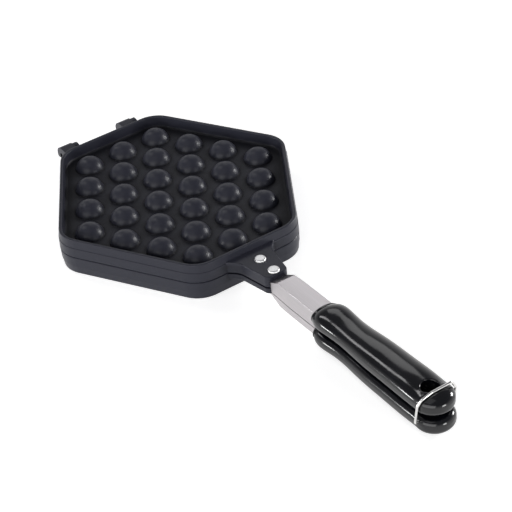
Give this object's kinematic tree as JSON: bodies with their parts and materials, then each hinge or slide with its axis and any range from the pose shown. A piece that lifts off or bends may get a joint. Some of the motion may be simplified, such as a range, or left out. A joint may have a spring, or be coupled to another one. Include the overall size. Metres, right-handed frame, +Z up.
{
  "type": "egg waffle pan",
  "caption": "Hinged two-plate stovetop pan that bakes a hexagonal sheet of round egg waffle balls, with a two-part grip latched by a wire bail.",
  "frame": {"origin": "under the middle of the whole length, on the plane that the lower plate's rim rests on", "axes": "+X along the handle, away from the hinges; +Z up, out of the upper plate; +Y to the right as seen from the grips"},
  "size_m": [0.4311, 0.1896, 0.0338],
  "materials": {
    "cast_nonstick": "cast, black non-stick coating, satin",
    "stainless_sheet": "pressed stainless sheet, fine brushed",
    "rivet_metal": "bright pressed heads",
    "pin_steel": "drawn steel",
    "phenolic": "black phenolic, moulded gloss",
    "screw_steel": "zinc plated",
    "bail_wire": "bright drawn spring wire"
  },
  "bodies": {
    "lower": {"lower_plate": "cast_nonstick", "hinge_pin_left": "pin_steel", "hinge_pin_right": "pin_steel", "lower_stem": "stainless_sheet", "lower_rear_rivet": "rivet_metal", "lower_front_rivet": "rivet_metal", "lower_grip": "phenolic", "lower_grip_screw": "screw_steel"},
    "upper": {"upper_plate": "cast_nonstick", "upper_stem": "stainless_sheet", "upper_rear_rivet": "rivet_metal", "upper_front_rivet": "rivet_metal", "upper_grip": "phenolic", "upper_grip_screw": "screw_steel"},
    "bail": {"wire_bail": "bail_wire"}
  },
  "joints": [
    {"name": "lid_hinge", "type": "hinge", "parent": "lower", "child": "upper", "pos_m": [-0.2091, 0, 0.0143], "axis": [0, -1, 0], "range_deg": [0, 179]},
    {"name": "bail_swing", "type": "hinge", "parent": "lower", "child": "bail", "pos_m": [0.20195, 0, 0.01119], "axis": [0, 1, 0], "range_deg": [0, 95]}
  ]
}
